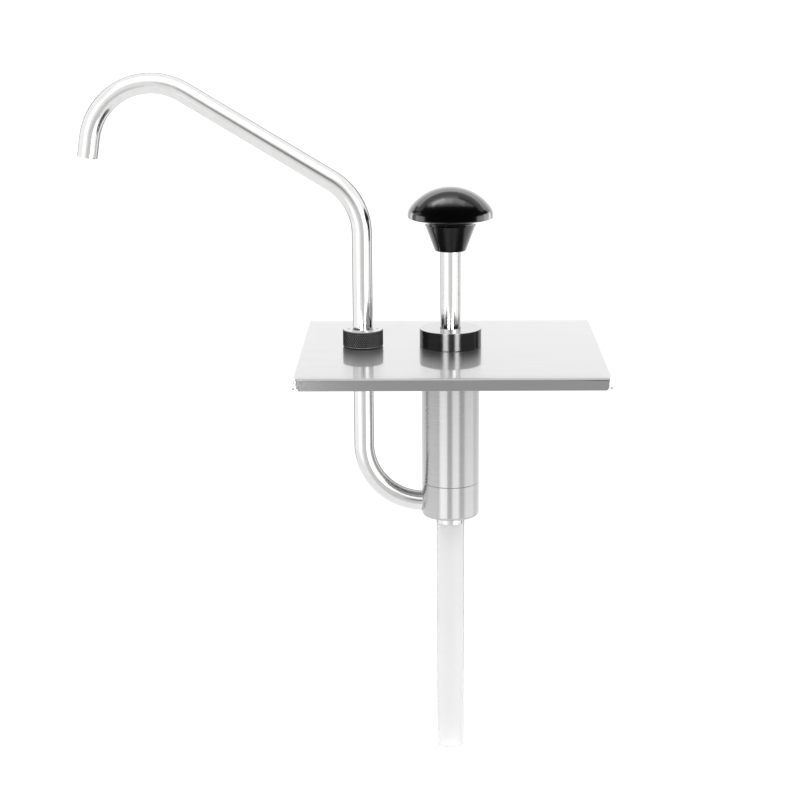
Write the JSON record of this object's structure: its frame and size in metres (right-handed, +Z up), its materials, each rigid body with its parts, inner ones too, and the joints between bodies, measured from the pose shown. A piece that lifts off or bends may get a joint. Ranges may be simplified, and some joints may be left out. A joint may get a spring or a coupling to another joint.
{
  "type": "condiment pump dispenser",
  "caption": "Lid-mounted plunger pump for a food container: folded steel lid, mushroom knob on a sprung rod, ball valves, riser, swivelling arched spout and a hanging suction tube.",
  "frame": {"origin": "on the pump's axis, in the plane of the lid's underside, where the lid rests on the container's rim", "axes": "+Z up along the pump's axis, +X towards the lid's end away from the spout, so the spout reaches towards -X, and +Y towards the back"},
  "size_m": [0.309, 0.165, 0.4201],
  "materials": {
    "lid_steel": "fine straight grain, bright",
    "pump_steel": "fine turned grain round the axis",
    "pipe_steel": "polished tube",
    "polished_steel": "mirror polished",
    "fitting_steel": "turned",
    "spring_steel": "drawn wire",
    "gloss_black": "smooth gloss",
    "knurled_black": "diamond knurled side, smooth top",
    "knob_black": "moulded, satin gloss",
    "frosted_tube": "frosted, translucent",
    "white_acetal": "machined",
    "slip_plastic": "slippery white plastic",
    "black_rubber": "moulded",
    "silicone_seal": "food grade silicone",
    "insert_brass": "turned"
  },
  "bodies": {
    "pump": {"lid_plate": "lid_steel", "pump_gasket": "silicone_seal", "union_gasket": "silicone_seal", "pump_barrel": "pump_steel", "clamp_collar": "gloss_black", "rod_guide": "white_acetal", "rod_wiper": "black_rubber", "valve_body": "pump_steel", "barrel_seal": "black_rubber", "ball_cage": "fitting_steel", "return_spring": "spring_steel", "suction_nipple": "fitting_steel", "nipple_seal": "silicone_seal", "suction_tube": "frosted_tube", "union_fitting": "fitting_steel", "outlet_seat": "fitting_steel", "outlet_stop_pin": "fitting_steel", "riser_pipe": "pipe_steel", "spout_seals": "black_rubber"},
    "plunger": {"plunger_rod": "polished_steel", "stop_buffer": "black_rubber", "piston": "white_acetal", "piston_seals": "black_rubber", "piston_washer": "fitting_steel", "piston_locknut": "fitting_steel", "knob": "knob_black", "knob_insert": "insert_brass"},
    "spout": {"spout_pipe": "pipe_steel", "spout_collar": "fitting_steel"},
    "union_nut": {"union_nut": "knurled_black", "slip_washer": "slip_plastic"},
    "inlet_ball": {"inlet_ball": "polished_steel"},
    "outlet_ball": {"outlet_ball": "polished_steel"}
  },
  "joints": [
    {"name": "plunger_slide", "type": "slide", "parent": "pump", "child": "plunger", "axis": [0, 0, -1], "range_m": [0, 0.04], "stiffness_N_per_m": 430, "springref_m": -0.03, "deforming": ["return_spring"]},
    {"name": "spout_swivel", "type": "hinge", "parent": "pump", "child": "spout", "pos_m": [-0.0525, 0, 0], "axis": [0, 0, 1], "continuous": true},
    {"name": "union_nut_turn", "type": "hinge", "parent": "pump", "child": "union_nut", "pos_m": [-0.0525, 0, 0], "axis": [0, 0, 1], "range_deg": [0, 180]},
    {"name": "inlet_ball_lift", "type": "slide", "parent": "pump", "child": "inlet_ball", "axis": [0, 0, 1], "range_m": [0, 0.003]},
    {"name": "outlet_ball_lift", "type": "slide", "parent": "pump", "child": "outlet_ball", "axis": [0, 0, 1], "range_m": [0, 0.0025]}
  ]
}
